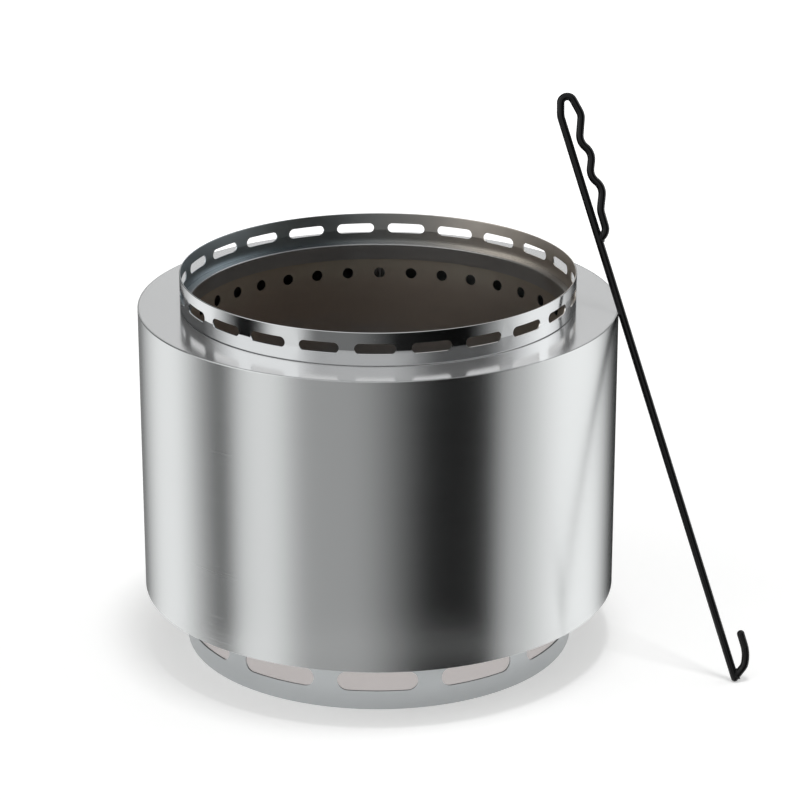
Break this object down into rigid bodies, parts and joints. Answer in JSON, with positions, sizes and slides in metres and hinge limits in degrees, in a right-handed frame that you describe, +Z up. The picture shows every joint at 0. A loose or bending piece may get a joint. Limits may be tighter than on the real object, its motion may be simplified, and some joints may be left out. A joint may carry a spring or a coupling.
{
  "type": "smokeless fire pit",
  "caption": "Double-walled steel fire pit on a slotted base ring, with a slotted flame ring, grate, lift-out ash pan and a black poker leaning on its rim.",
  "frame": {"origin": "centre of the base ring's foot, on the ground and on the drum's axis", "axes": "+Z up along the drum's axis, -Y to the front that the picture shows, +X to the right, where the poker leans"},
  "size_m": [0.6354, 0.5, 0.59],
  "materials": {
    "base_steel": "satin",
    "shell_steel": "brushed, fine level grain",
    "deck_steel": "polished, slightly soft",
    "collar_steel": "polished",
    "inner_steel": "mill finish",
    "chamber_steel": "mill finish, a little heat tint",
    "pan_steel": "mill finish",
    "fastener_steel": "turned",
    "bail_wire": "drawn wire",
    "grate_iron": "matte, cast",
    "poker_black": "satin black"
  },
  "bodies": {
    "stand": {"base_ring": "base_steel"},
    "fire_body": {"outer_shell": "shell_steel", "top_deck": "deck_steel", "bottom_plate": "inner_steel", "inner_wall": "chamber_steel", "chamber_floor": "chamber_steel", "floor_rivets": "fastener_steel", "stand_tabs": "inner_steel", "tab_rivets": "fastener_steel", "chamber_bolts": "fastener_steel", "chamber_washers": "fastener_steel", "chamber_nuts": "fastener_steel", "rim_screws": "fastener_steel", "rim_nuts": "fastener_steel"},
    "flame_ring": {"flame_collar": "collar_steel", "seat_ring": "collar_steel"},
    "ash_tray": {"ash_pan": "pan_steel", "bail_ears": "pan_steel", "ear_rivets": "fastener_steel"},
    "bail": {"pan_bail": "bail_wire"},
    "grate": {"fire_grate": "grate_iron", "grate_legs": "grate_iron"},
    "poker": {"poker_shaft": "poker_black", "poker_hook": "poker_black"}
  },
  "joints": [
    {"name": "body_lift", "type": "slide", "parent": "stand", "child": "fire_body", "axis": [0, 0, 1], "range_m": [0, 0.07]},
    {"name": "ring_lift", "type": "slide", "parent": "fire_body", "child": "flame_ring", "axis": [0, 0, 1], "range_m": [0, 0.06]},
    {"name": "pan_lift", "type": "slide", "parent": "fire_body", "child": "ash_tray", "axis": [0, 0, 1], "range_m": [0, 0.34]},
    {"name": "grate_lift", "type": "slide", "parent": "ash_tray", "child": "grate", "axis": [0, 0, 1], "range_m": [0, 0.34]},
    {"name": "bail_swing", "type": "hinge", "parent": "ash_tray", "child": "bail", "pos_m": [0, 0, 0.1373], "axis": [1, 0, 0], "range_deg": [0, 180]},
    {"name": "poker_tilt", "type": "hinge", "parent": "fire_body", "child": "poker", "pos_m": [0.37066, -0.13851, 0.004], "axis": [0.6207, 0.784, 0], "range_deg": [0, 22.64]}
  ]
}
